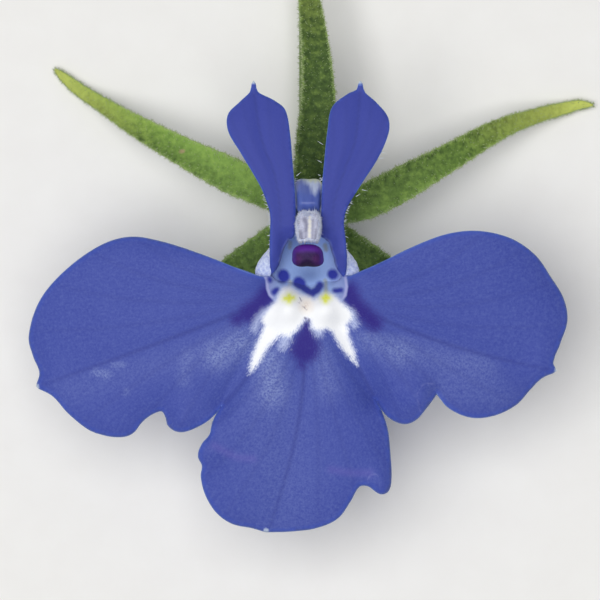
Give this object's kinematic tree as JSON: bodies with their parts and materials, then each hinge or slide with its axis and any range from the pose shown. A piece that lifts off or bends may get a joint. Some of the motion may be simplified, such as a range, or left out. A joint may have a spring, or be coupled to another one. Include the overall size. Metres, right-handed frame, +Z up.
{
  "type": "trailing lobelia bloom",
  "caption": "Picked bloom of a trailing lobelia: blue corolla with a broad lobed lip and narrow upper lobes, long green sepals and a short cut stalk, lying face up.",
  "frame": {"origin": "on the surface that the bloom lies on, under the middle of its length and width", "axes": "+Z up out of the face, +Y from the lower lip towards the two upper lobes, +X to the right of the face seen from above"},
  "size_m": [0.0193, 0.0214, 0.0081],
  "materials": {
    "stalk": "soft green plant stalk with fine hairs",
    "calyx": "matt green sepal with short pale hairs",
    "petals": "velvety blue petal, white and violet at the throat",
    "filaments": "smooth pale blue filament tube",
    "anthers": "grey-blue anther tube under white wool",
    "stigma": "dark purple papillose stigma"
  },
  "bodies": {
    "root": {"pedicel": "stalk", "calyx": "calyx", "corolla": "petals", "filament_tube": "filaments", "anther_tube": "anthers", "stigma": "stigma"}
  },
  "joints": []
}
